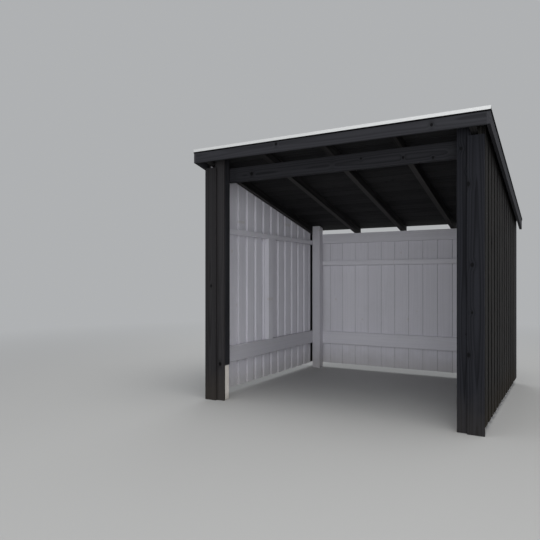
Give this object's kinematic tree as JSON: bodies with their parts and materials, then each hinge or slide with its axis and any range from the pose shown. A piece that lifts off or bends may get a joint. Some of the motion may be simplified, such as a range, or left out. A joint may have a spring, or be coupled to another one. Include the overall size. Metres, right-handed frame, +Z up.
{
  "type": "bike shelter",
  "caption": "Timber bicycle shelter with an open front, black outside and white inside, under a roof that falls to the back.",
  "frame": {"origin": "on the ground under the middle of the roof", "axes": "+Z up, X along the open front, the open front faces -Y and the roof falls towards +Y"},
  "size_m": [2.338, 2.2322, 2.1156],
  "materials": {
    "black_stain": "satin",
    "white_paint": "satin",
    "concrete": "matte",
    "roofing_felt": "matte",
    "flashing_metal": "satin"
  },
  "bodies": {
    "root": {"back_boards": "white_paint", "back_lower_rail": "white_paint", "back_middle_rail": "white_paint", "back_top_rail": "white_paint", "barge_board_left": "black_stain", "barge_board_right": "black_stain", "front_fascia": "black_stain", "front_flashing": "flashing_metal", "front_post_left": "black_stain", "front_post_right": "black_stain", "front_trim_left": "black_stain", "front_trim_right": "black_stain", "header_beam": "black_stain", "left_inner_boards": "white_paint", "left_lower_rail": "white_paint", "left_outer_boards": "black_stain", "left_stud": "white_paint", "left_upper_rail": "white_paint", "post_cover_left": "black_stain", "post_cover_right": "black_stain", "post_foot_left": "concrete", "post_foot_right": "concrete", "rafter_1": "black_stain", "rafter_2": "black_stain", "rafter_3": "black_stain", "rafter_4": "black_stain", "rafter_5": "black_stain", "rear_corner_board_left": "black_stain", "rear_corner_board_right": "black_stain", "rear_post_left": "white_paint", "rear_post_right": "white_paint", "right_inner_boards": "white_paint", "right_lower_rail": "white_paint", "right_outer_boards": "black_stain", "right_stud": "white_paint", "right_upper_rail": "white_paint", "roof_deck": "black_stain", "roof_felt": "roofing_felt"}
  },
  "joints": []
}
